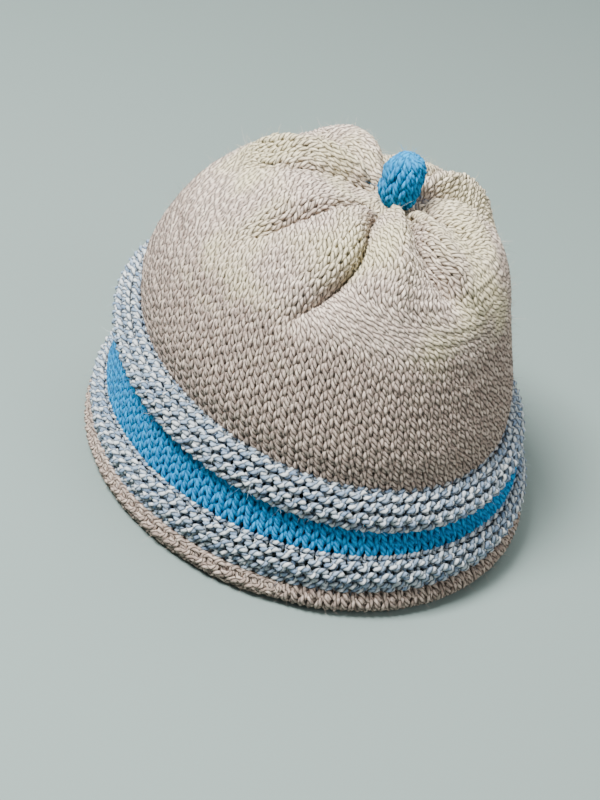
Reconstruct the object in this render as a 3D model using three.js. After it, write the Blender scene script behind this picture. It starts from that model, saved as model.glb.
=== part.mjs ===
// A hand-knitted beanie that rests on its hem: a rolled hem, a purl welt, a plain band, a
// second purl welt, a crown gathered into deep folds, and a small knitted knob at the top.
// Millimetres, +Z up, the origin under the middle of the hem. The wearer would face -Y.
// Bearings are degrees anticlockwise from +X, seen from above.
import * as THREE from "three";

// Sizes round the head. A radius is the mean of the oval, to the outer face of the knitting.
const hemRadius = 95.5;
const hemThickness = 10.5;
const hemHeight = 10.5;
const bandRadius = 89;
const bandHeight = 18;
const crownRadius = 81;
const crownRise = 76;
const fabric = 4.4;

// The hat is a little longer one way than the other, as the head under it is.
const ovalStretch = 1.06;
const longBearing = 62;

// The welts: how far each stands out past the knitting that it joins, and its height.
const lowerWeltBulge = 4.6;
const lowerWeltHeight = 11.5;
const upperWeltBulge = 6.4;
const upperWeltHeight = 12;
const weltFullness = 0.6; // a lower power makes a welt fill out sooner from its edges

// The upper welt and the crown sag to one side, which squeezes the band there.
const sagBearing = 105;
const sagAngle = 7.1;
const sagShift = -2;
const leanBearing = 130; // the middle of the crown leans this way

// The knob, a stub of knitted cord that plugs the hole in the middle of the crown.
const knobRadius = 7.8;
const knobHeight = 20.5;
const stemRadius = 4.6;

const gap = 0.3; // between one piece and the next
const aroundBand = 60;
const aroundCrown = 112;
const outerRows = 15;
const innerRows = 11;

// The crown's sections from the welt to the knob, as shares of crownRadius, crownRise and
// crownRadius: its radius, its rise and how far it leans.
const crownSections = [
  { radius: 0.985, rise: 0.0, lean: 0.0 },
  { radius: 0.98, rise: 0.17, lean: -0.035 },
  { radius: 0.925, rise: 0.355, lean: -0.055 },
  { radius: 0.845, rise: 0.55, lean: -0.055 },
  { radius: 0.735, rise: 0.75, lean: -0.03 },
  { radius: 0.585, rise: 0.92, lean: -0.02 },
  { radius: 0.395, rise: 0.995, lean: 0.0 },
  { radius: 0.205, rise: 0.97, lean: 0.02 },
  { radius: 0.065, rise: 0.925, lean: 0.04 },
];

// The crown's folds. Bearings of the crease at the knob, half way and at its outer end; where
// it ends, as a share of the way from welt to knob; its depth and its half width at the outer
// end, as shares of crownRadius; and how far its lip rolls over, as a share of that half
// width. A depth below zero is a rib. A lip below zero rolls over from the clockwise side.
const folds = [
  { knob: -88, middle: -56, outer: -63, ends: 0.46, depth: 0.24, width: 0.05, lip: -0.5 },
  { knob: -96, middle: -70, outer: -73, ends: 0.44, depth: -0.075, width: 0.05, lip: 0 },
  { knob: -106, middle: -88, outer: -86, ends: 0.44, depth: 0.2, width: 0.07, lip: 0 },
  { knob: -52, middle: -54, outer: -56, ends: 0.34, depth: 0.07, width: 0.28, lip: 0 },
  { knob: -104, middle: -99, outer: -99, ends: 0.4, depth: 0.11, width: 0.1, lip: 0 },
  { knob: -136, middle: -138, outer: -136, ends: 0.42, depth: 0.24, width: 0.09, lip: 0 },
  { knob: -4, middle: -1, outer: -9, ends: 0.44, depth: 0.17, width: 0.05, lip: -0.45 },
  { knob: 20, middle: 37, outer: 24, ends: 0.36, depth: 0.24, width: 0.05, lip: -0.5 },
  { knob: 50, middle: 54, outer: 58, ends: 0.46, depth: -0.055, width: 0.07, lip: 0 },
  { knob: 84, middle: 73, outer: 84, ends: 0.5, depth: 0.24, width: 0.055, lip: 0.3 },
  { knob: 98, middle: 84, outer: 96, ends: 0.46, depth: -0.055, width: 0.05, lip: 0 },
  { knob: 124, middle: 114, outer: 110, ends: 0.6, depth: 0.12, width: 0.05, lip: 0 },
  { knob: 172, middle: 158, outer: 147, ends: 0.5, depth: 0.26, width: 0.05, lip: 0.5 },
  { knob: 182, middle: 172, outer: 160, ends: 0.46, depth: -0.06, width: 0.055, lip: 0 },
  { knob: 198, middle: 192, outer: 182, ends: 0.5, depth: 0.16, width: 0.06, lip: 0 },
  { knob: 210, middle: 210, outer: 208, ends: 0.45, depth: 0.07, width: 0.2, lip: 0 },
];

const colours = {
  oatmeal: { color: 0xc9bcae, roughness: 0.92 },
  marl: { color: 0x9fb0c6, roughness: 0.9 },
  turquoise: { color: 0x1f9fd6, roughness: 0.92 },
};

const toRadians = THREE.MathUtils.degToRad;
const lerp = THREE.MathUtils.lerp;
const smoothstep = THREE.MathUtils.smoothstep;

// A value of a named column at share t down a table, on a smooth line through its rows.
function column(rows, name, t) {
  const at = THREE.MathUtils.clamp(t, 0, 1) * (rows.length - 1);
  const i = Math.min(Math.floor(at), rows.length - 2);
  const f = at - i;
  const [a, b, c, d] = [-1, 0, 1, 2].map((step) => {
    const row = THREE.MathUtils.clamp(i + step, 0, rows.length - 1);
    return rows[row][name];
  });
  const bend = 2 * a - 5 * b + 4 * c - d + f * (3 * (b - c) + d - a);
  return b + 0.5 * f * (c - a + f * bend);
}

// A solid ring: point(bearing, k) gives corner k of the section at that bearing. The corners
// run anticlockwise, seen with the axis on the left.
function ring(point, corners, around) {
  const positions = [];
  const index = [];
  for (let i = 0; i < around; i++) {
    for (let k = 0; k < corners; k++) {
      positions.push(...point((360 * i) / around, k));
    }
  }
  for (let i = 0; i < around; i++) {
    for (let k = 0; k < corners; k++) {
      const a = i * corners + k;
      const b = i * corners + ((k + 1) % corners);
      const c = ((i + 1) % around) * corners + k;
      const d = ((i + 1) % around) * corners + ((k + 1) % corners);
      index.push(a, c, b, b, c, d);
    }
  }
  const geometry = new THREE.BufferGeometry();
  geometry.setAttribute("position", new THREE.Float32BufferAttribute(positions, 3));
  geometry.setIndex(index);
  geometry.computeVertexNormals();
  return geometry;
}

function polar(bearing, radius, height) {
  const angle = toRadians(bearing);
  return [radius * Math.cos(angle), radius * Math.sin(angle), height];
}

// A point at that bearing on the oval with this mean radius.
function onOval(bearing, radius, height) {
  const turn = toRadians(bearing - longBearing);
  const along = Math.cos(turn) / ovalStretch;
  const across = Math.sin(turn) * ovalStretch;
  return polar(bearing, radius / Math.hypot(along, across), height);
}

function piece(name, geometry, look) {
  const mesh = new THREE.Mesh(geometry, new THREE.MeshStandardMaterial(look));
  mesh.name = name;
  return mesh;
}

// The levels of the lower pieces, one on the next.
const lowerWeltBase = hemHeight + gap;
const bandBase = lowerWeltBase + lowerWeltHeight + gap;

// The sagging frame: its origin is the middle of the upper welt's lower edge.
const upperBase = bandBase + bandHeight + gap;
const sagSlope = Math.tan(toRadians(sagAngle));

// How far a plane of the sagging frame drops at a point of the lower pieces.
function sagDrop(bearing, radius) {
  const [x, y] = onOval(bearing, radius, 0);
  const [sagX, sagY] = polar(sagBearing, 1, 0);
  return (x * sagX + y * sagY - sagShift) * sagSlope;
}

// The hem: the edge rolled up on itself, flat where it rests and where the welt sits on it.
function rolledHem() {
  const corners = 12;
  const middle = hemRadius - hemThickness / 2;
  const squareness = 0.8; // under 1 squares up the rolled section
  const flattening = 1.12; // over 1 widens the flats above and below
  return ring(
    (bearing, k) => {
      const turn = (2 * Math.PI * (k + 0.5)) / corners;
      const out = Math.sign(Math.cos(turn)) * Math.abs(Math.cos(turn)) ** squareness;
      const up = Math.sign(Math.sin(turn)) * Math.abs(Math.sin(turn)) ** squareness;
      const height = (hemHeight / 2) * (1 + up * flattening);
      const radius = middle + (hemThickness / 2) * out * 1.0143;
      return onOval(bearing, radius, THREE.MathUtils.clamp(height, 0, hemHeight));
    },
    corners,
    aroundBand,
  );
}

// A knitted wall between two radii that stands out between its edges. The loop of corners
// runs up the outer face and down the inner one.
function weltPoint(bearing, k, steps, size) {
  const up = k <= steps;
  const t = (up ? k : 2 * steps + 1 - k) / steps;
  const edge = lerp(size.bottomRadius, size.topRadius, t);
  const stand = size.bulge * Math.sin(Math.PI * t) ** (up ? weltFullness : 1);
  return onOval(bearing, edge + stand - (up ? 0 : fabric), size.height * t);
}

function welt(size) {
  const steps = 6;
  const loop = 2 * steps + 2;
  return ring((bearing, k) => weltPoint(bearing, k, steps, size), loop, aroundBand);
}

// The plain band, squeezed between the level lower welt and the sagging upper one.
function plainBand() {
  const steps = 3;
  const topRadius = crownRadius + upperWeltBulge * 0.75;
  const loop = 2 * steps + 2;
  return ring(
    (bearing, k) => {
      const up = k <= steps;
      const t = (up ? k : 2 * steps + 1 - k) / steps;
      const radius = lerp(bandRadius, topRadius, t) - (up ? 0 : fabric);
      const height = bandHeight - sagDrop(bearing, radius);
      return onOval(bearing, radius, height * t);
    },
    loop,
    aroundBand,
  );
}

// How far a fold moves the knitting at share t of the way up: in along the crown's own
// normal, and round it.
function foldMove(fold, bearing, t, radius) {
  const along = (t - fold.ends) / (1 - fold.ends);
  if (along <= 0) return { inward: 0, around: 0 };
  const way = [{ b: fold.outer }, { b: fold.middle }, { b: fold.knob }];
  const crease = column(way, "b", along);
  const turn = THREE.MathUtils.euclideanModulo(bearing - crease + 180, 360) - 180;
  const narrowing = lerp(1, 0.38, smoothstep(along, 0, 0.9));
  const halfWidth = fold.width * crownRadius * narrowing;
  const across = (toRadians(turn) * radius) / halfWidth;
  const strength = smoothstep(along, 0, 0.4) * (1 - smoothstep(along, 0.84, 1));
  const valley = Math.exp(-(Math.abs(across) ** 1.3));
  const side = across * Math.sign(fold.lip);
  const lip = side > 0 ? side * Math.exp(1 - side) : 0;
  return {
    inward: fold.depth * crownRadius * strength * valley,
    around: -fold.lip * halfWidth * strength * lip,
  };
}

// A point of the crown's outer face, or of a face that lies inset under it.
function crownPoint(bearing, t, inset) {
  const radius = column(crownSections, "radius", t) * crownRadius;
  const rise = column(crownSections, "rise", t) * crownRise;
  const lean = column(crownSections, "lean", t) * crownRadius;
  const step = 0.01;
  const [before, after] = [Math.max(t - step, 0), Math.min(t + step, 1)];
  const widening = column(crownSections, "radius", after) - column(crownSections, "radius", before);
  const climbing = column(crownSections, "rise", after) - column(crownSections, "rise", before);
  const normal = new THREE.Vector2(climbing * crownRise, -widening * crownRadius).normalize();
  let valley = 0;
  let rib = 0;
  let around = 0;
  for (const fold of folds) {
    const move = foldMove(fold, bearing, t, radius);
    valley = Math.max(valley, move.inward);
    rib += Math.min(move.inward, 0);
    around += move.around;
  }
  const inward = inset + valley + rib;
  const turned = bearing + THREE.MathUtils.radToDeg(around / Math.max(radius, stemRadius));
  const [x, y, z] = onOval(turned, radius - normal.x * inward, rise - normal.y * inward);
  const [leanX, leanY] = polar(leanBearing, lean, 0);
  return [x + leanX, y + leanY, z];
}

// The crown: one wall from the welt to the hole that the knob's stem fills.
function crown() {
  return ring(
    (bearing, k) => {
      const outer = k < outerRows;
      const t = outer ? k / (outerRows - 1) : 1 - (k - outerRows) / (innerRows - 1);
      const point = crownPoint(bearing, t, outer ? 0 : fabric);
      if (t === 0) point[2] = 0;
      return point;
    },
    outerRows + innerRows,
    aroundCrown,
  );
}

// The knob's outline from the foot of its stem to its top: radius as a share of knobRadius
// and height as a share of knobHeight, above the face of the crown.
function knob() {
  const outline = [
    [stemRadius, -fabric],
    [stemRadius, 0.3],
    [knobRadius * 0.8, knobHeight * 0.08],
    [knobRadius * 0.94, knobHeight * 0.22],
    [knobRadius, knobHeight * 0.42],
    [knobRadius, knobHeight * 0.62],
    [knobRadius * 0.88, knobHeight * 0.82],
    [knobRadius * 0.55, knobHeight * 0.96],
  ].map(([radius, height]) => new THREE.Vector2(radius, height));
  const foot = new THREE.Vector2(0, -fabric);
  const top = new THREE.Vector2(0, knobHeight);
  const geometry = new THREE.LatheGeometry([foot, ...outline, top], 20);
  return geometry.rotateX(Math.PI / 2);
}

const lowerWelt = {
  bottomRadius: hemRadius - hemThickness / 2,
  topRadius: bandRadius,
  bulge: lowerWeltBulge,
  height: lowerWeltHeight,
};
const upperWelt = {
  bottomRadius: crownRadius + upperWeltBulge * 0.75,
  topRadius: crownRadius * crownSections[0].radius,
  bulge: upperWeltBulge,
  height: upperWeltHeight,
};

const beanie = new THREE.Group();
beanie.add(piece("rolled_hem", rolledHem(), colours.oatmeal));

const lowerWeltPiece = piece("lower_welt", welt(lowerWelt), colours.marl);
lowerWeltPiece.position.z = lowerWeltBase;
beanie.add(lowerWeltPiece);

const bandPiece = piece("plain_band", plainBand(), colours.turquoise);
bandPiece.position.z = bandBase;
beanie.add(bandPiece);

const sagging = new THREE.Group();
const sagAxis = new THREE.Vector3(...polar(sagBearing + 90, 1, 0));
sagging.quaternion.setFromAxisAngle(sagAxis, toRadians(sagAngle));
sagging.position.set(...polar(sagBearing, sagShift, upperBase));
beanie.add(sagging);

sagging.add(piece("upper_welt", welt(upperWelt), colours.marl));

const crownPiece = piece("crown", crown(), colours.oatmeal);
crownPiece.position.z = upperWeltHeight + gap;
sagging.add(crownPiece);

const knobPiece = piece("top_knob", knob(), colours.turquoise);
const crownTop = crownSections[crownSections.length - 1];
const knobBase = upperWeltHeight + gap + crownRise * crownTop.rise;
knobPiece.position.set(...polar(leanBearing, crownTop.lean * crownRadius, knobBase));
sagging.add(knobPiece);

export default beanie;
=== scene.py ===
"""A hand-knitted beanie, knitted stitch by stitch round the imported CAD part. Lengths here are
millimetres and turn into metres as each mesh is made. Bearings are degrees anticlockwise from
+X, seen from above."""

import math

import bpy
import numpy as np
from mathutils import Matrix, Vector


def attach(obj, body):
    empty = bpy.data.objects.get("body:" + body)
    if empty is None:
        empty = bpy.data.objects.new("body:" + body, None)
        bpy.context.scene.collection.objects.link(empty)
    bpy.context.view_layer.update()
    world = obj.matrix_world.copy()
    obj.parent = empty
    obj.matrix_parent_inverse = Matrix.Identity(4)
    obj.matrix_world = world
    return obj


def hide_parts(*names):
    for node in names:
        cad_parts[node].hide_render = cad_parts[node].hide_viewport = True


# Sizes that the part itself has. A radius is the mean of the oval, to the outer face.
HEM_RADIUS = 95.5
HEM_THICKNESS = 10.5
HEM_HEIGHT = 10.5
BAND_RADIUS = 89.0
BAND_HEIGHT = 18.0
CROWN_RADIUS = 81.0
CROWN_RISE = 76.0
FABRIC = 4.4
OVAL_STRETCH = 1.06
LONG_BEARING = 62.0
LOWER_WELT = {"bulge": 4.6, "height": 11.5, "courses": 4}
UPPER_WELT = {"bulge": 6.4, "height": 12.0, "courses": 5}
WELT_FULLNESS = 0.6
SAG_BEARING = 105.0
SAG_ANGLE = 7.1
SAG_SHIFT = -2.0
LEAN_BEARING = 130.0
KNOB_RADIUS = 7.8
KNOB_HEIGHT = 20.5
STEM_RADIUS = 4.6  # the knob's stem, where it goes through the crown
GAP = 0.3

# The knitting's own gauge.
STITCHES = 100
COURSE = 4.2
YARN_RADIUS = 1.16
LOOP_DEPTH = 0.95  # how far a loop's legs stand in front of its head
LOOP_REACH = 0.94  # half a loop's height, in courses
LOOP_SWAY = 0.24  # how far its neck pinches in, in stitches
STEPS = 12  # lengths of tube in a stitch
SIDES = 6
YARN_UNEVENNESS = 0.035  # of its thickness
WANDER = {"round": 0.03, "up": 0.045, "out": 0.1}  # in stitches, in courses and in millimetres

# The yarn passed over between two courses, so that their colours don't line up.
COURSE_STEP = 37.0

# The crown's sections from the welt to the knob: radius, rise and lean, as shares.
CROWN_SECTIONS = [
    {"radius": 0.985, "rise": 0.0, "lean": 0.0},
    {"radius": 0.98, "rise": 0.17, "lean": -0.035},
    {"radius": 0.925, "rise": 0.355, "lean": -0.055},
    {"radius": 0.845, "rise": 0.55, "lean": -0.055},
    {"radius": 0.735, "rise": 0.75, "lean": -0.03},
    {"radius": 0.585, "rise": 0.92, "lean": -0.02},
    {"radius": 0.395, "rise": 0.995, "lean": 0.0},
    {"radius": 0.205, "rise": 0.97, "lean": 0.02},
    {"radius": 0.065, "rise": 0.925, "lean": 0.04},
]

# The crown's folds, as the part has them.
FOLDS = [
    {"knob": -88, "middle": -56, "outer": -63, "ends": 0.46, "depth": 0.24, "width": 0.05, "lip": -0.5},
    {"knob": -96, "middle": -70, "outer": -73, "ends": 0.44, "depth": -0.075, "width": 0.05, "lip": 0},
    {"knob": -106, "middle": -88, "outer": -86, "ends": 0.44, "depth": 0.2, "width": 0.07, "lip": 0},
    {"knob": -52, "middle": -54, "outer": -56, "ends": 0.34, "depth": 0.07, "width": 0.28, "lip": 0},
    {"knob": -104, "middle": -99, "outer": -99, "ends": 0.4, "depth": 0.11, "width": 0.1, "lip": 0},
    {"knob": -136, "middle": -138, "outer": -136, "ends": 0.42, "depth": 0.24, "width": 0.09, "lip": 0},
    {"knob": -4, "middle": -1, "outer": -9, "ends": 0.44, "depth": 0.17, "width": 0.05, "lip": -0.45},
    {"knob": 20, "middle": 37, "outer": 24, "ends": 0.36, "depth": 0.24, "width": 0.05, "lip": -0.5},
    {"knob": 50, "middle": 54, "outer": 58, "ends": 0.46, "depth": -0.055, "width": 0.07, "lip": 0},
    {"knob": 84, "middle": 73, "outer": 84, "ends": 0.5, "depth": 0.24, "width": 0.055, "lip": 0.3},
    {"knob": 98, "middle": 84, "outer": 96, "ends": 0.46, "depth": -0.055, "width": 0.05, "lip": 0},
    {"knob": 124, "middle": 114, "outer": 110, "ends": 0.6, "depth": 0.12, "width": 0.05, "lip": 0},
    {"knob": 172, "middle": 158, "outer": 147, "ends": 0.5, "depth": 0.26, "width": 0.05, "lip": 0.5},
    {"knob": 182, "middle": 172, "outer": 160, "ends": 0.46, "depth": -0.06, "width": 0.055, "lip": 0},
    {"knob": 198, "middle": 192, "outer": 182, "ends": 0.5, "depth": 0.16, "width": 0.06, "lip": 0},
    {"knob": 210, "middle": 210, "outer": 208, "ends": 0.45, "depth": 0.07, "width": 0.2, "lip": 0},
]


def smoothstep(x, low, high):
    x = np.clip((x - low) / (high - low), 0, 1)
    return x * x * (3 - 2 * x)


def column(rows, name, t):
    """A named column at share t down a table, on a smooth line through its rows."""
    values = np.array([row[name] for row in rows], float)
    at = np.clip(t, 0, 1) * (len(values) - 1)
    i = np.minimum(np.floor(at).astype(int), len(values) - 2)
    f = at - i
    a, b, c, d = [values[np.clip(i + step, 0, len(values) - 1)] for step in (-1, 0, 1, 2)]
    bend = 2 * a - 5 * b + 4 * c - d + f * (3 * (b - c) + d - a)
    return b + 0.5 * f * (c - a + f * bend)


def polar(bearing, radius, height):
    angle = np.radians(bearing)
    return np.stack(np.broadcast_arrays(radius * np.cos(angle), radius * np.sin(angle), height), -1)


def on_oval(bearing, radius, height):
    turn = np.radians(bearing - LONG_BEARING)
    stretch = 1 / np.hypot(np.cos(turn) / OVAL_STRETCH, np.sin(turn) * OVAL_STRETCH)
    return polar(bearing, radius * stretch, height)


# The levels of the lower pieces, and the frame that sags.
LOWER_WELT_BASE = HEM_HEIGHT + GAP
BAND_BASE = LOWER_WELT_BASE + LOWER_WELT["height"] + GAP
UPPER_BASE = BAND_BASE + BAND_HEIGHT + GAP
BAND_TUCK = 0.75  # of the upper welt's bulge, which the band's top stands under
BAND_TOP_RADIUS = CROWN_RADIUS + UPPER_WELT["bulge"] * BAND_TUCK


def sagging(points):
    """Points of the sagging frame, in the part's frame."""
    axis = Vector(polar(SAG_BEARING + 90, 1.0, 0.0))
    turn = np.array(Matrix.Rotation(math.radians(SAG_ANGLE), 3, axis))
    return points @ turn.T + polar(SAG_BEARING, SAG_SHIFT, UPPER_BASE)


def band_top(bearing):
    """The height of the plain band at a bearing, under the upper welt."""
    edge = on_oval(bearing, BAND_TOP_RADIUS, 0.0)
    along = edge @ polar(SAG_BEARING, 1.0, 0.0)
    return BAND_HEIGHT - (along - SAG_SHIFT) * math.tan(math.radians(SAG_ANGLE))


HEM_COURSES = 6
HEM_SQUARENESS = 0.8  # 1 is a round roll, and less a squarer one


def hem_surface(share, course):
    """The middle of the rolled knitting of the hem."""
    turn = 2 * math.pi * (course + 0.5) / HEM_COURSES
    half = HEM_THICKNESS / 2 - FABRIC / 2
    out = np.sign(np.cos(turn)) * np.abs(np.cos(turn)) ** HEM_SQUARENESS
    up = np.sign(np.sin(turn)) * np.abs(np.sin(turn)) ** HEM_SQUARENESS
    radius = HEM_RADIUS - HEM_THICKNESS / 2 + half * out
    return on_oval(360 * share, radius, HEM_HEIGHT / 2 + half * up)


# How a welt runs on past its ends, in millimetres a course: up or down, and out at its foot.
PAST_RISE = 1.5
PAST_SPREAD = 3.0


def welt_surface(size, bottom_radius, top_radius):
    """The middle of a welt's knitting, as a function of the share round and the course."""
    t = np.linspace(0, 1, 81)
    stand = 0.5 * size["bulge"] * (np.sin(math.pi * t) ** WELT_FULLNESS + np.sin(math.pi * t))
    radius = bottom_radius + (top_radius - bottom_radius) * t + stand - FABRIC / 2
    height = size["height"] * t
    length = np.concatenate([[0], np.cumsum(np.hypot(np.diff(radius), np.diff(height)))])
    level = length / length[-1] * size["courses"]

    def surface(share, course):
        past = course - np.clip(course, 0, size["courses"])
        r = np.interp(course, level, radius) - PAST_SPREAD * np.minimum(past, 0)
        z = np.interp(course, level, height) + PAST_RISE * past
        return on_oval(360 * share, r, z)

    return surface


def lower_welt_surface(share, course):
    surface = welt_surface(LOWER_WELT, HEM_RADIUS - HEM_THICKNESS / 2, BAND_RADIUS)
    return surface(share, course) + np.array([0, 0, LOWER_WELT_BASE])


def band_surface(share, course):
    height = COURSE * course
    t = np.clip(height / band_top(360 * share), 0, 1)
    radius = BAND_RADIUS + (BAND_TOP_RADIUS - BAND_RADIUS) * t - FABRIC / 2
    return on_oval(360 * share, radius, BAND_BASE + height)


def upper_welt_surface(share, course):
    surface = welt_surface(UPPER_WELT, BAND_TOP_RADIUS, CROWN_RADIUS * CROWN_SECTIONS[0]["radius"])
    return sagging(surface(share, course))


# How every fold runs from its outer end to the knob. The places are shares of its own way.
FOLD_NARROWING = 0.62  # the share of its width that it loses
FOLD_NARROW_FROM = 0.9
FOLD_DEEP_FROM = 0.4
FOLD_FADES_FROM = 0.84
FOLD_SHARPNESS = 1.3  # 1 is a sharp crease, and 2 a round one


def fold_move(fold, bearing, t, radius):
    """How far a fold moves the knitting in and round, at share t of the way up."""
    along = np.clip((t - fold["ends"]) / (1 - fold["ends"]), 0, 1)
    way = [{"bearing": fold[part]} for part in ("outer", "middle", "knob")]
    turn = (bearing - column(way, "bearing", along) + 180) % 360 - 180
    narrowing = 1 - FOLD_NARROWING * smoothstep(along, 0, FOLD_NARROW_FROM)
    half_width = fold["width"] * CROWN_RADIUS * narrowing
    across = np.radians(turn) * radius / half_width
    strength = smoothstep(along, 0, FOLD_DEEP_FROM) * (1 - smoothstep(along, FOLD_FADES_FROM, 1))
    side = np.maximum(across * np.sign(fold["lip"]), 0)
    bottom = np.exp(-(np.abs(across) ** FOLD_SHARPNESS))
    inward = fold["depth"] * CROWN_RADIUS * strength * bottom
    around = -fold["lip"] * half_width * strength * side * np.exp(1 - side)
    return inward, around


def change(name, t, step=0.01):
    """How much a column of the crown's sections changes from a step below t to one above."""
    low, high = np.clip(t - step, 0, 1), np.clip(t + step, 0, 1)
    return column(CROWN_SECTIONS, name, high) - column(CROWN_SECTIONS, name, low)


def crown_point(bearing, t, inset):
    """The crown's surface at a bearing and share t of the way up, moved in by inset."""
    radius = column(CROWN_SECTIONS, "radius", t) * CROWN_RADIUS
    rise = column(CROWN_SECTIONS, "rise", t) * CROWN_RISE
    lean = column(CROWN_SECTIONS, "lean", t) * CROWN_RADIUS
    widening = change("radius", t) * CROWN_RADIUS
    climbing = change("rise", t) * CROWN_RISE
    size = np.hypot(widening, climbing)
    valley, rib, around = 0.0, 0.0, 0.0
    for fold in FOLDS:
        inward, more_around = fold_move(fold, bearing, t, radius)
        valley = np.maximum(valley, inward)
        rib = rib + np.minimum(inward, 0)
        around = around + more_around
    inward = inset + valley + rib
    turned = bearing + np.degrees(around / np.maximum(radius, STEM_RADIUS))
    point = on_oval(turned, radius - climbing / size * inward, rise + widening / size * inward)
    return point + polar(LEAN_BEARING, lean, UPPER_WELT["height"] + GAP)


def crown_rows():
    """The number of courses up the crown, and the share of the way at each course."""
    t = np.linspace(0, 1, 400)
    radius = column(CROWN_SECTIONS, "radius", t) * CROWN_RADIUS
    rise = column(CROWN_SECTIONS, "rise", t) * CROWN_RISE
    length = np.concatenate([[0], np.cumsum(np.hypot(np.diff(radius), np.diff(rise)))])
    courses = int(round(length[-1] / COURSE))
    return courses, lambda course: np.interp(course, length / length[-1] * courses, t)


# The grid that the crown's stitches are placed by: its levels in a course and places in a
# stitch, and how far the stitches spread evenly over the folds and not by bearing.
GRID_LEVELS = 6
GRID_PLACES = 8
EVEN_SPREAD = 0.85


def crown_grid():
    """The crown's middle surface as a grid in which stitches spread evenly over the folds."""
    courses, share_at = crown_rows()
    levels = np.linspace(0, courses, courses * GRID_LEVELS + 1)
    bearings = np.linspace(0, 360, 1441)
    shares = np.linspace(0, 1, STITCHES * GRID_PLACES + 1)
    grid = np.zeros((len(levels), len(shares), 3))
    rounds = np.zeros(len(levels))
    for i, level in enumerate(levels):
        t = np.full_like(bearings, share_at(level))
        ring = crown_point(bearings, t, FABRIC / 2)
        step = np.linalg.norm(np.diff(ring, axis=0), axis=1)
        length = np.concatenate([[0], np.cumsum(step)])
        rounds[i] = length[-1]
        share = EVEN_SPREAD * length / length[-1] + (1 - EVEN_SPREAD) * bearings / 360
        spread = np.interp(shares, share, bearings)
        grid[i] = crown_point(spread, np.full_like(spread, share_at(level)), FABRIC / 2)
    return courses, levels, rounds, sagging(grid)


CROWN_COURSES, CROWN_LEVELS, CROWN_ROUNDS, CROWN_GRID = crown_grid()


def crown_surface(share, course):
    """The crown's middle surface, which runs on straight past its first and last courses."""
    across = (share % 1) * (CROWN_GRID.shape[1] - 1)
    up = course / CROWN_COURSES * (CROWN_GRID.shape[0] - 1)
    i = np.clip(up.astype(int), 0, CROWN_GRID.shape[0] - 2)
    j = np.minimum(across.astype(int), CROWN_GRID.shape[1] - 2)
    f, g = (up - i)[..., None], (across - j)[..., None]
    low = CROWN_GRID[i, j] * (1 - g) + CROWN_GRID[i, j + 1] * g
    high = CROWN_GRID[i + 1, j] * (1 - g) + CROWN_GRID[i + 1, j + 1] * g
    return low * (1 - f) + high * f


# The knob's outline from its foot to its tip, as shares of its radius and height.
KNOB_OUTLINE = [
    {"radius": 0.66, "height": -0.02},
    {"radius": 0.9, "height": 0.14},
    {"radius": 1.0, "height": 0.36},
    {"radius": 1.0, "height": 0.6},
    {"radius": 0.9, "height": 0.82},
    {"radius": 0.55, "height": 0.96},
    {"radius": 0.1, "height": 1.0},
]
KNOB_COURSES = 7
KNOB_STITCHES = 10
KNOB_INSET = 1.7  # how far the yarn's middle lies inside the knob's outline
KNOB_TIP_RADIUS = 0.4


def knob_surface(share, course):
    """The knob's middle surface, which runs on straight past its foot and tip."""
    t = course / KNOB_COURSES
    past = course - np.clip(course, 0, KNOB_COURSES)
    radius = column(KNOB_OUTLINE, "radius", t) * KNOB_RADIUS
    height = column(KNOB_OUTLINE, "height", t) * KNOB_HEIGHT
    top = CROWN_SECTIONS[-1]
    foot = UPPER_WELT["height"] + GAP + CROWN_RISE * top["rise"]
    radius = np.maximum(radius - KNOB_INSET, KNOB_TIP_RADIUS)
    point = polar(360 * share, radius, foot + height * (1 - KNOB_INSET / KNOB_HEIGHT) + past)
    return sagging(point + polar(LEAN_BEARING, top["lean"] * CROWN_RADIUS, 0.0))


def normals(surface, share, course):
    """The way out of a surface, from points a little to each side."""
    d_share, d_course = 0.002, 0.12
    round_it = surface(share + d_share, course) - surface(share - d_share, course)
    up_it = surface(share, course + d_course) - surface(share, course - d_course)
    out = np.cross(round_it, up_it)
    return out / np.maximum(np.linalg.norm(out, axis=-1, keepdims=True), 1e-9)


def unevenness(rng, stitches, along, size):
    """A little hand-made wander, one value a stitch, with straight runs between them."""
    values = rng.normal(0, size, stitches)
    return np.interp(along % stitches, np.arange(stitches + 1), np.append(values, values[0]))


def yarn_course(surface, course, stitches, face, rng, gauge):
    """The middle line of one course of yarn and the way out along it. face is 1 for knit
    stitches and -1 for purl ones, or a function of the share of the way round."""
    t = np.arange(stitches * STEPS) / STEPS
    wave = 2 * math.pi * t
    wander = {way: size * gauge["wander"] for way, size in WANDER.items()}
    u = t + gauge["sway"] * np.sin(2 * wave) + unevenness(rng, stitches, t, wander["round"])
    row = course + gauge["reach"] * np.cos(wave) + unevenness(rng, stitches, t, wander["up"])
    share = u / stitches
    side = face(share) if callable(face) else face
    depth = -gauge["depth"] * np.cos(2 * wave) * side + unevenness(rng, stitches, t, wander["out"])
    out = normals(surface, share, row)
    return surface(share, row) + out * depth[:, None], out


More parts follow.
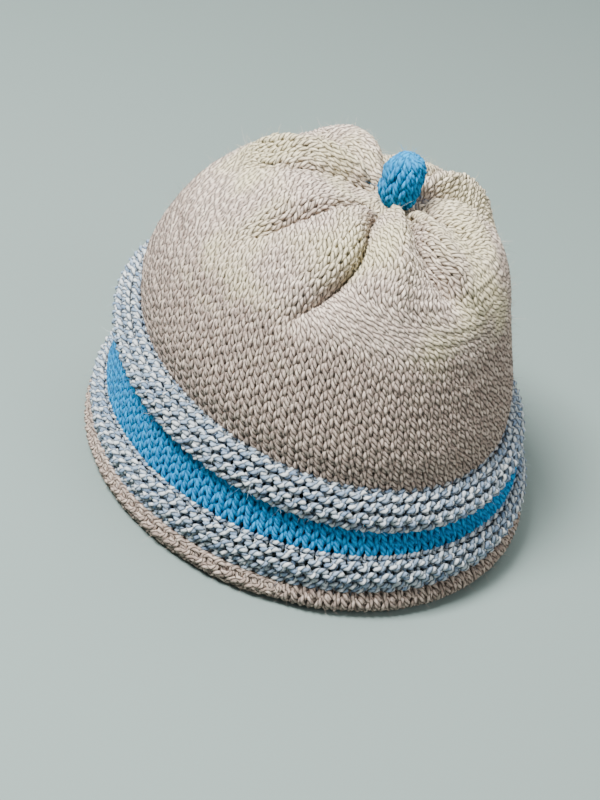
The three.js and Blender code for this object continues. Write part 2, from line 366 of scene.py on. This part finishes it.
def tube(line, out, radius, start):
    """Corners, faces and yarn lengths of a closed tube round a line."""
    along = np.roll(line, -1, 0) - np.roll(line, 1, 0)
    along /= np.linalg.norm(along, axis=1, keepdims=True)
    side = np.cross(along, out)
    side /= np.linalg.norm(side, axis=1, keepdims=True)
    front = np.cross(side, along)
    turn = 2 * math.pi * np.arange(SIDES) / SIDES
    ring = np.cos(turn)[None, :, None] * front[:, None] + np.sin(turn)[None, :, None] * side[:, None]
    points = line[:, None] + np.broadcast_to(radius, len(line))[:, None, None] * ring
    count = len(line)
    i, k = np.meshgrid(np.arange(count), np.arange(SIDES), indexing="ij")
    here, there = i * SIDES, ((i + 1) % count) * SIDES
    following = (k + 1) % SIDES
    faces = np.stack([here + k, here + following, there + following, there + k], -1).reshape(-1, 4)
    length = np.linalg.norm(np.roll(line, -1, 0) - line, axis=1)
    reach = start + np.concatenate([[0], np.cumsum(length)])
    u0, u1 = reach[:-1][i], reach[1:][i]
    v0, v1 = k / SIDES, (k + 1) / SIDES
    corners = [(u0, v0), (u0, v1), (u1, v1), (u1, v0)]
    uv = np.stack([np.stack(corner, -1) for corner in corners], 2)
    return points.reshape(-1, 3), faces, uv.reshape(-1, 4, 2), reach[-1]


UV_SCALE = 100.0  # millimetres of yarn in one unit of the UV map


def mesh_object(name, points, faces, uv, material):
    """One mesh from arrays, in metres, with yarn lengths as its UV map."""
    mesh = bpy.data.meshes.new(name)
    mesh.vertices.add(len(points))
    mesh.vertices.foreach_set("co", (points / 1000).astype(np.float32).ravel())
    corners = faces.shape[1]
    mesh.loops.add(faces.size)
    mesh.loops.foreach_set("vertex_index", faces.astype(np.int32).ravel())
    mesh.polygons.add(len(faces))
    mesh.polygons.foreach_set("loop_start", np.arange(0, faces.size, corners, dtype=np.int32))
    mesh.polygons.foreach_set("use_smooth", np.ones(len(faces), bool))
    layer = mesh.uv_layers.new(name="yarn")
    layer.data.foreach_set("uv", (uv / UV_SCALE).astype(np.float32).ravel())
    mesh.update(calc_edges=True)
    mesh.validate()
    mesh.materials.append(material)
    obj = bpy.data.objects.new(name, mesh)
    bpy.context.scene.collection.objects.link(obj)
    return obj


GAUGE = {
    "reach": LOOP_REACH,
    "sway": LOOP_SWAY,
    "depth": LOOP_DEPTH,
    "radius": YARN_RADIUS,
    "wander": 1.0,
}

# The fuzz: stray fibres that stand off the yarn.
FIBRES_A_STITCH = 4.0
FIBRE_WIDTH = 0.07
FIBRE_LENGTHS = (1.2, 3.6)
FIBRE_BENDS = 2
FIBRE_ROOT = 0.85  # how far out of the yarn it starts, as a share of the yarn's radius
FIBRE_LEAN = 0.9
FIBRE_CURL = 0.5
FIBRE_TAPER = 0.6


def fuzz(line, out, radius, along, at, rng):
    """Corners, faces and yarn lengths of thin bent blades that stand off one course, each from
    one of the places listed in at."""
    count = len(at)
    way = np.roll(line, -1, 0)[at] - line[at]
    way /= np.linalg.norm(way, axis=1, keepdims=True)
    side = np.cross(way, out[at])
    lean = rng.normal(0, FIBRE_LEAN, (count, 2))
    rise = out[at] + side * lean[:, :1] + way * lean[:, 1:]
    rise /= np.linalg.norm(rise, axis=1, keepdims=True)
    curl = rng.normal(0, FIBRE_CURL, (count, 3))
    length = rng.uniform(*FIBRE_LENGTHS, count)[:, None]
    across = np.cross(rise, rng.normal(0, 1, (count, 3)))
    across *= FIBRE_WIDTH / 2 / np.linalg.norm(across, axis=1, keepdims=True)
    foot = line[at] + rise * (radius[at] * FIBRE_ROOT)[:, None]
    rows = []
    for step in range(FIBRE_BENDS + 1):
        t = step / FIBRE_BENDS
        middle = foot + length * t * (rise + curl * t)
        half = across * (1 - FIBRE_TAPER * t)
        rows += [middle - half, middle + half]
    points = np.stack(rows, 1)
    points[..., 2] = np.maximum(points[..., 2], FIBRE_WIDTH)
    first = np.arange(count)[:, None] * len(rows) + 2 * np.arange(FIBRE_BENDS)
    faces = np.stack([first, first + 1, first + 3, first + 2], -1).reshape(-1, 4)
    place = np.stack([along[at], rng.uniform(0, 1, count)], -1)
    uv = np.broadcast_to(place[:, None, None], (count, FIBRE_BENDS, 4, 2))
    return points.reshape(-1, 3), faces, uv.reshape(-1, 4, 2)


def knit(name, surface, courses, stitches, face, seed, material, gauge=GAUGE, keep=None, used=0.0):
    """A knitted piece: a tube of yarn for each course. stitches is their number in a course, or
    a function of the course. keep(share, course) may leave out the stretches that another
    piece hides. used is the yarn that went into the courses below it."""
    rng = np.random.default_rng(seed)
    points, faces, uvs = [], [], []
    base, start = 0, used
    for course in courses:
        count = stitches(course) if callable(stitches) else stitches
        line, out = yarn_course(surface, course, count, face, rng, gauge)
        t = np.arange(count * STEPS) / STEPS
        radius = gauge["radius"] * (1 + unevenness(rng, count, t, YARN_UNEVENNESS))
        p, f, uv, start = tube(line, out, radius, start + COURSE_STEP)
        along = uv[::SIDES, 0, 0]
        at = rng.integers(0, len(line), int(count * FIBRES_A_STITCH))
        if keep is not None:
            stays = keep(t / count, course + gauge["reach"] * np.cos(2 * math.pi * t))
            at = at[stays[at]]
            f, uv = f[np.repeat(stays, SIDES)], uv[np.repeat(stays, SIDES)]
        strays = fuzz(line, out, radius, along, at, rng)
        for more_points, more_faces, more_uv in ((p, f, uv), strays):
            points.append(more_points)
            faces.append(more_faces + base)
            uvs.append(more_uv)
            base += len(more_points)
    points, faces, uvs = [np.concatenate(arrays) for arrays in (points, faces, uvs)]
    return mesh_object(name, points, faces, uvs, material)


class Nodes:
    """Short names for the shader nodes of one material."""

    def __init__(self, name):
        self.material = bpy.data.materials.new(name)
        self.material.use_nodes = True
        self.tree = self.material.node_tree
        self.shader = self.tree.nodes["Principled BSDF"]

    def set(self, socket, value):
        if isinstance(value, bpy.types.NodeSocket):
            self.tree.links.new(value, socket)
        else:
            socket.default_value = value

    def math(self, kind, a, b=0.0):
        node = self.tree.nodes.new("ShaderNodeMath")
        node.operation = kind
        self.set(node.inputs[0], a)
        self.set(node.inputs[1], b)
        return node.outputs[0]

    def mix(self, share, a, b):
        node = self.tree.nodes.new("ShaderNodeMix")
        node.data_type = "RGBA"
        self.set(node.inputs[0], share)
        self.set(node.inputs[6], a)
        self.set(node.inputs[7], b)
        return node.outputs[2]

    def tinted(self, colour, tint):
        """The colour times another."""
        node = self.tree.nodes.new("ShaderNodeVectorMath")
        node.operation = "MULTIPLY"
        self.set(node.inputs[0], colour)
        self.set(node.inputs[1], tint)
        return node.outputs[0]

    def shaded(self, colour, share):
        """The colour times a share."""
        node = self.tree.nodes.new("ShaderNodeVectorMath")
        node.operation = "SCALE"
        self.set(node.inputs[0], colour)
        self.set(node.inputs["Scale"], share)
        return node.outputs[0]

    def ramp(self, value, low, high):
        node = self.tree.nodes.new("ShaderNodeMapRange")
        node.interpolation_type = "SMOOTHSTEP"
        self.set(node.inputs["Value"], value)
        self.set(node.inputs["From Min"], low)
        self.set(node.inputs["From Max"], high)
        return node.outputs["Result"]

    def noise(self, vector, scale, detail=2.0):
        node = self.tree.nodes.new("ShaderNodeTexNoise")
        self.set(node.inputs["Vector"], vector)
        self.set(node.inputs["Scale"], scale)
        self.set(node.inputs["Detail"], detail)
        return node.outputs["Fac"]

    def vector(self, x, y, z=0.0):
        node = self.tree.nodes.new("ShaderNodeCombineXYZ")
        for socket, value in zip(node.inputs, (x, y, z)):
            self.set(socket, value)
        return node.outputs[0]

    def coordinates(self):
        node = self.tree.nodes.new("ShaderNodeTexCoord")
        split = self.tree.nodes.new("ShaderNodeSeparateXYZ")
        self.set(split.inputs[0], node.outputs["UV"])
        return node.outputs["Object"], split.outputs[0], split.outputs[1]


# Lengths of yarn, in millimetres.
COURSE_YARN = 1750.0  # about what a course of the crown uses
DARK_YARN = 14 * COURSE_YARN  # the darker stretch that a piece starts with
PATCH_REACH = 9 * COURSE_YARN  # how far the end of that stretch wanders
PATCH_FADE = 0.4 * PATCH_REACH  # how gently it ends
PATCH_LENGTH = 90.0  # how long it keeps to one place in its wandering
COLOUR_LENGTH = 24.0  # how long a ply keeps its colour

# The values between which a noise, or the roundness of a ply, takes effect. The ply's roundness sets
# where the painted shade between the plies begins and ends.
SHIFT_RANGE = (0.38, 0.62)
STAIN_RANGE = (0.44, 0.66)
FLECK_RANGE = (0.52, 0.72)
GROOVE_SHADE_RANGE = (0.4, 0.97)

BLOTCH_SCALE = 26.0  # of the stains, in a metre
FLECK_SHARE = 0.55
PLY_FULLNESS = 0.55  # less is a flatter ply with a narrower groove
BUMP_DISTANCE = 0.0007  # in metres


def yarn_look(name, plies, turn_length, first_ply, second_ply, fleck, stain, stain_share, dim, groove_shade):
    """Plied wool. turn_length is one whole turn of the plies, in millimetres of yarn. first_ply
    and second_ply are pairs of colours that every other ply wanders between, fleck is a light
    fibre, and stain a tint that comes and goes over the piece. The first DARK_YARN of the
    yarn is darker, by the shares in dim. groove is the share of colour left between the plies,
    where painted shade darkens them."""
    n = Nodes(name)
    place, along, round_it = n.coordinates()
    length = n.math("MULTIPLY", along, UV_SCALE)
    round_it = n.math("MULTIPLY", round_it, UV_SCALE)
    winding = n.math("ADD", n.math("DIVIDE", length, turn_length), round_it)
    turns = n.math("MULTIPLY", winding, float(plies))
    within = n.math("FRACT", turns)
    ply = n.math("MODULO", n.math("FLOOR", turns), 2.0)
    bulge = n.math("POWER", n.math("SINE", n.math("MULTIPLY", within, math.pi)), PLY_FULLNESS)

    slow = n.noise(n.vector(n.math("DIVIDE", length, COLOUR_LENGTH), ply), 1.0)
    shift = n.ramp(slow, *SHIFT_RANGE)
    colour_one = n.mix(shift, *first_ply)
    colour_two = n.mix(shift, *second_ply)
    colour = n.mix(ply, colour_one, colour_two)
    patch = n.noise(n.vector(n.math("DIVIDE", length, PATCH_LENGTH), 0.0), 1.0)
    wandered = n.math("ADD", length, n.math("MULTIPLY", patch, PATCH_REACH))
    light = n.ramp(wandered, DARK_YARN, DARK_YARN + PATCH_FADE)
    blotch = n.noise(place, BLOTCH_SCALE)
    stained = n.math("MULTIPLY", n.ramp(blotch, *STAIN_RANGE), stain_share)
    colour = n.mix(n.math("MULTIPLY", stained, light), colour, stain)
    colour = n.mix(light, n.tinted(colour, dim), colour)

    hair_place = n.vector(n.math("MULTIPLY", turns, 0.8), n.math("MULTIPLY", within, 7.0), length)
    hair = n.noise(hair_place, 2.6, 3.0)
    colour = n.mix(n.math("MULTIPLY", n.ramp(hair, *FLECK_RANGE), FLECK_SHARE), colour, fleck)
    # Painted shade: each ply's colour darkens towards its edges, where it meets the next ply.
    shade = n.math("ADD", groove_shade, n.math("MULTIPLY", n.ramp(bulge, *GROOVE_SHADE_RANGE), 1 - groove_shade))
    colour = n.shaded(colour, shade)

    height = n.math("ADD", bulge, n.math("MULTIPLY", hair, 0.5))
    bump = n.tree.nodes.new("ShaderNodeBump")
    bump.inputs["Strength"].default_value = 1.0
    bump.inputs["Distance"].default_value = BUMP_DISTANCE
    n.set(bump.inputs["Height"], height)
    shader = n.shader
    n.set(shader.inputs["Base Color"], colour)
    n.set(shader.inputs["Normal"], bump.outputs[0])
    shader.inputs["Roughness"].default_value = 0.9
    shader.inputs["Sheen Weight"].default_value = 0.04
    shader.inputs["Sheen Roughness"].default_value = 0.45
    shader.inputs["Specular IOR Level"].default_value = 0.12
    return n.material


OATMEAL = yarn_look(
    "oatmeal_yarn",
    plies=3,
    turn_length=7.0,
    first_ply=((0.74, 0.62, 0.5, 1), (0.58, 0.47, 0.39, 1)),
    second_ply=((0.46, 0.36, 0.29, 1), (0.36, 0.28, 0.23, 1)),
    fleck=(0.9, 0.82, 0.72, 1),
    stain=(0.66, 0.6, 0.34, 1),
    stain_share=0.65,
    dim=(0.69, 0.66, 0.66),
    groove_shade=0.26,
)
MARL = yarn_look(
    "marl_yarn",
    plies=2,
    turn_length=3.9,
    first_ply=((0.7, 0.74, 0.74, 1), (0.5, 0.58, 0.64, 1)),
    second_ply=((0.16, 0.25, 0.38, 1), (0.32, 0.42, 0.54, 1)),
    fleck=(0.88, 0.9, 0.88, 1),
    stain=(0.5, 0.5, 0.44, 1),
    stain_share=0.2,
    dim=(0.8, 0.8, 0.8),
    groove_shade=0.26,
)
TURQUOISE = yarn_look(
    "turquoise_yarn",
    plies=3,
    turn_length=7.0,
    first_ply=((0.0, 0.28, 0.6, 1), (0.0, 0.24, 0.52, 1)),
    second_ply=((0.0, 0.17, 0.42, 1), (0.0, 0.2, 0.46, 1)),
    fleck=(0.0, 0.35, 0.68, 1),
    stain=(0.0, 0.31, 0.5, 1),
    stain_share=0.3,
    dim=(1.0, 1.0, 1.0),
    groove_shade=0.5,
)


# The stretch of hem that shows its knit side: its middle, and how far to each side of that it
# starts and has finished turning over.
KNIT_SIDE = {"bearing": 95, "turns_from": 45, "turns_to": 62}


def hem_face(share):
    """The hem rolls outwards, purl side out, but for a stretch that curls under."""
    turn = (360 * share - KNIT_SIDE["bearing"] + 180) % 360 - 180
    purl = smoothstep(np.abs(turn), KNIT_SIDE["turns_from"], KNIT_SIDE["turns_to"])
    return -1 + 2 * (1 - purl)


DECREASED_FROM = 0.62  # of the crown's first round, under which half the stitches are left


def crown_stitches(course):
    length = np.interp(course, CROWN_LEVELS, CROWN_ROUNDS)
    return STITCHES if length > DECREASED_FROM * CROWN_ROUNDS[0] else STITCHES // 2


BAND_COURSES = 8
BAND_HIDDEN = 2.5  # how far the band's knitting goes on under the upper welt


def visible_band(share, course):
    return course * COURSE < band_top(360 * share) + BAND_HIDDEN


def courses_of(count, first=0):
    return [k + 0.5 for k in range(first, count)]


WELT_GAUGE = dict(GAUGE, radius=1.12, depth=1.5, reach=0.72, sway=0.2)
KNOB_GAUGE = dict(GAUGE, radius=1.2, depth=0.75, wander=4.5)
TUCKED_COURSE = -0.35  # the lower welt's first course, down against the hem


def stand_for(obj, node):
    """The piece takes the place of a CAD node."""
    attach(obj, "root")
    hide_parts(node)


def make_hem():
    courses = courses_of(HEM_COURSES)
    piece = knit("hem_knit", hem_surface, courses, STITCHES, hem_face, 1, OATMEAL)
    stand_for(piece, "rolled_hem")


def make_lower_welt():
    courses = [TUCKED_COURSE] + courses_of(LOWER_WELT["courses"])
    surface = lower_welt_surface
    piece = knit("lower_welt_knit", surface, courses, STITCHES, -1, 2, MARL, WELT_GAUGE)
    stand_for(piece, "lower_welt")


def make_band():
    courses = courses_of(BAND_COURSES)
    piece = knit("band_knit", band_surface, courses, STITCHES, 1, 3, TURQUOISE, keep=visible_band)
    stand_for(piece, "plain_band")


def make_upper_welt():
    courses = courses_of(UPPER_WELT["courses"])
    surface = upper_welt_surface
    piece = knit("upper_welt_knit", surface, courses, STITCHES, -1, 4, MARL, WELT_GAUGE)
    stand_for(piece, "upper_welt")


def make_crown():
    """The crown in three pieces, each of which takes the yarn up about where the last ends."""
    third = CROWN_COURSES // 3
    for name, first, last, seed in (
        ("crown_low_knit", 0, third, 5),
        ("crown_middle_knit", third, 2 * third, 6),
        ("crown_top_knit", 2 * third, CROWN_COURSES, 7),
    ):
        courses = courses_of(last, first)
        used = first * COURSE_YARN
        piece = knit(name, crown_surface, courses, crown_stitches, 1, seed, OATMEAL, used=used)
        stand_for(piece, "crown")


def make_knob():
    courses = courses_of(KNOB_COURSES)
    piece = knit("knob_knit", knob_surface, courses, KNOB_STITCHES, 1, 9, TURQUOISE, KNOB_GAUGE)
    stand_for(piece, "top_knob")


def plain_material(name, colour, roughness):
    n = Nodes(name)
    n.shader.inputs["Base Color"].default_value = colour
    n.shader.inputs["Roughness"].default_value = roughness
    return n.material


FLOOR_SIZE = 8
FLOOR_DROP = 0.0002  # how far under the hem the floor lies, in metres
FLOOR_COLOUR = (0.135, 0.176, 0.163, 1)
SKY_COLOUR = (0.86, 0.92, 0.95, 1)
SKY_STRENGTH = 0.36


def make_studio():
    bpy.ops.mesh.primitive_plane_add(size=FLOOR_SIZE, location=(0, 0, -FLOOR_DROP))
    floor = bpy.context.object
    floor.name = "floor"
    floor.data.materials.append(plain_material("floor_paint", FLOOR_COLOUR, 0.85))
    world = bpy.context.scene.world or bpy.data.worlds.new("World")
    bpy.context.scene.world = world
    world.use_nodes = True
    background = world.node_tree.nodes["Background"]
    background.inputs["Color"].default_value = SKY_COLOUR
    background.inputs["Strength"].default_value = SKY_STRENGTH


# The studio's lights: bearing and elevation that each shines from, distance, size and power.
LIGHTS = [
    {"name": "key", "bearing": -20, "elevation": 62, "distance": 1.2, "size": 0.38, "power": 66},
    {"name": "fill", "bearing": 100, "elevation": 35, "distance": 1.5, "size": 1.0, "power": 12.0},
    {"name": "back", "bearing": 200, "elevation": 60, "distance": 1.4, "size": 0.9, "power": 12},
]


def make_lights():
    middle = Vector((0, 0, 0.06))
    for row in LIGHTS:
        data = bpy.data.lights.new(row["name"], "AREA")
        data.size = row["size"]
        data.energy = row["power"]
        lamp = bpy.data.objects.new(row["name"], data)
        bearing, elevation = math.radians(row["bearing"]), math.radians(row["elevation"])
        level = math.cos(elevation)
        way = Vector((math.cos(bearing) * level, math.sin(bearing) * level, math.sin(elevation)))
        lamp.location = middle + way * row["distance"]
        lamp.rotation_euler = way.to_track_quat("Z", "Y").to_euler()
        bpy.context.scene.collection.objects.link(lamp)


# The camera, as fitted to the photograph, in degrees and metres: its bearing and elevation
# from the hat's foot, its roll, its distance, and how far above and left of there it aims.
CAMERA = {"bearing": 40, "elevation": 35.4, "roll": 14.0, "distance": 0.73, "up": 1.615, "left": 0.06}
CAMERA_LENS = 79.97


def make_camera():
    data = bpy.data.cameras.new("camera")
    data.lens = CAMERA_LENS
    camera = bpy.data.objects.new("camera", data)
    bpy.context.scene.collection.objects.link(camera)
    bpy.context.scene.camera = camera
    bearing, elevation = math.radians(CAMERA["bearing"]), math.radians(CAMERA["elevation"])
    level = math.cos(elevation)
    back = Vector((math.cos(bearing) * level, math.sin(bearing) * level, math.sin(elevation)))
    turn = back.to_track_quat("Z", "Y").to_matrix()
    turn = turn @ Matrix.Rotation(math.radians(CAMERA["roll"]), 3, "Z")
    turn = turn @ Matrix.Rotation(math.radians(CAMERA["up"]), 3, "X")
    turn = turn @ Matrix.Rotation(math.radians(CAMERA["left"]), 3, "Y")
    camera.matrix_world = Matrix.Translation(back * CAMERA["distance"]) @ turn.to_4x4()


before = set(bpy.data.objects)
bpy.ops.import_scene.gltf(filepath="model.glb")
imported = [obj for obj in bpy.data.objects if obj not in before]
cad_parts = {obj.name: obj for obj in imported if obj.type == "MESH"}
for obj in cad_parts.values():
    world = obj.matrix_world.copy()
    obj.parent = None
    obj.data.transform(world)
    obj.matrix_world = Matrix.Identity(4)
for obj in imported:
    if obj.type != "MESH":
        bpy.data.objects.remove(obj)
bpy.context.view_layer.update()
make_hem()
make_lower_welt()
make_band()
make_upper_welt()
make_crown()
make_knob()
make_studio()
make_lights()
make_camera()
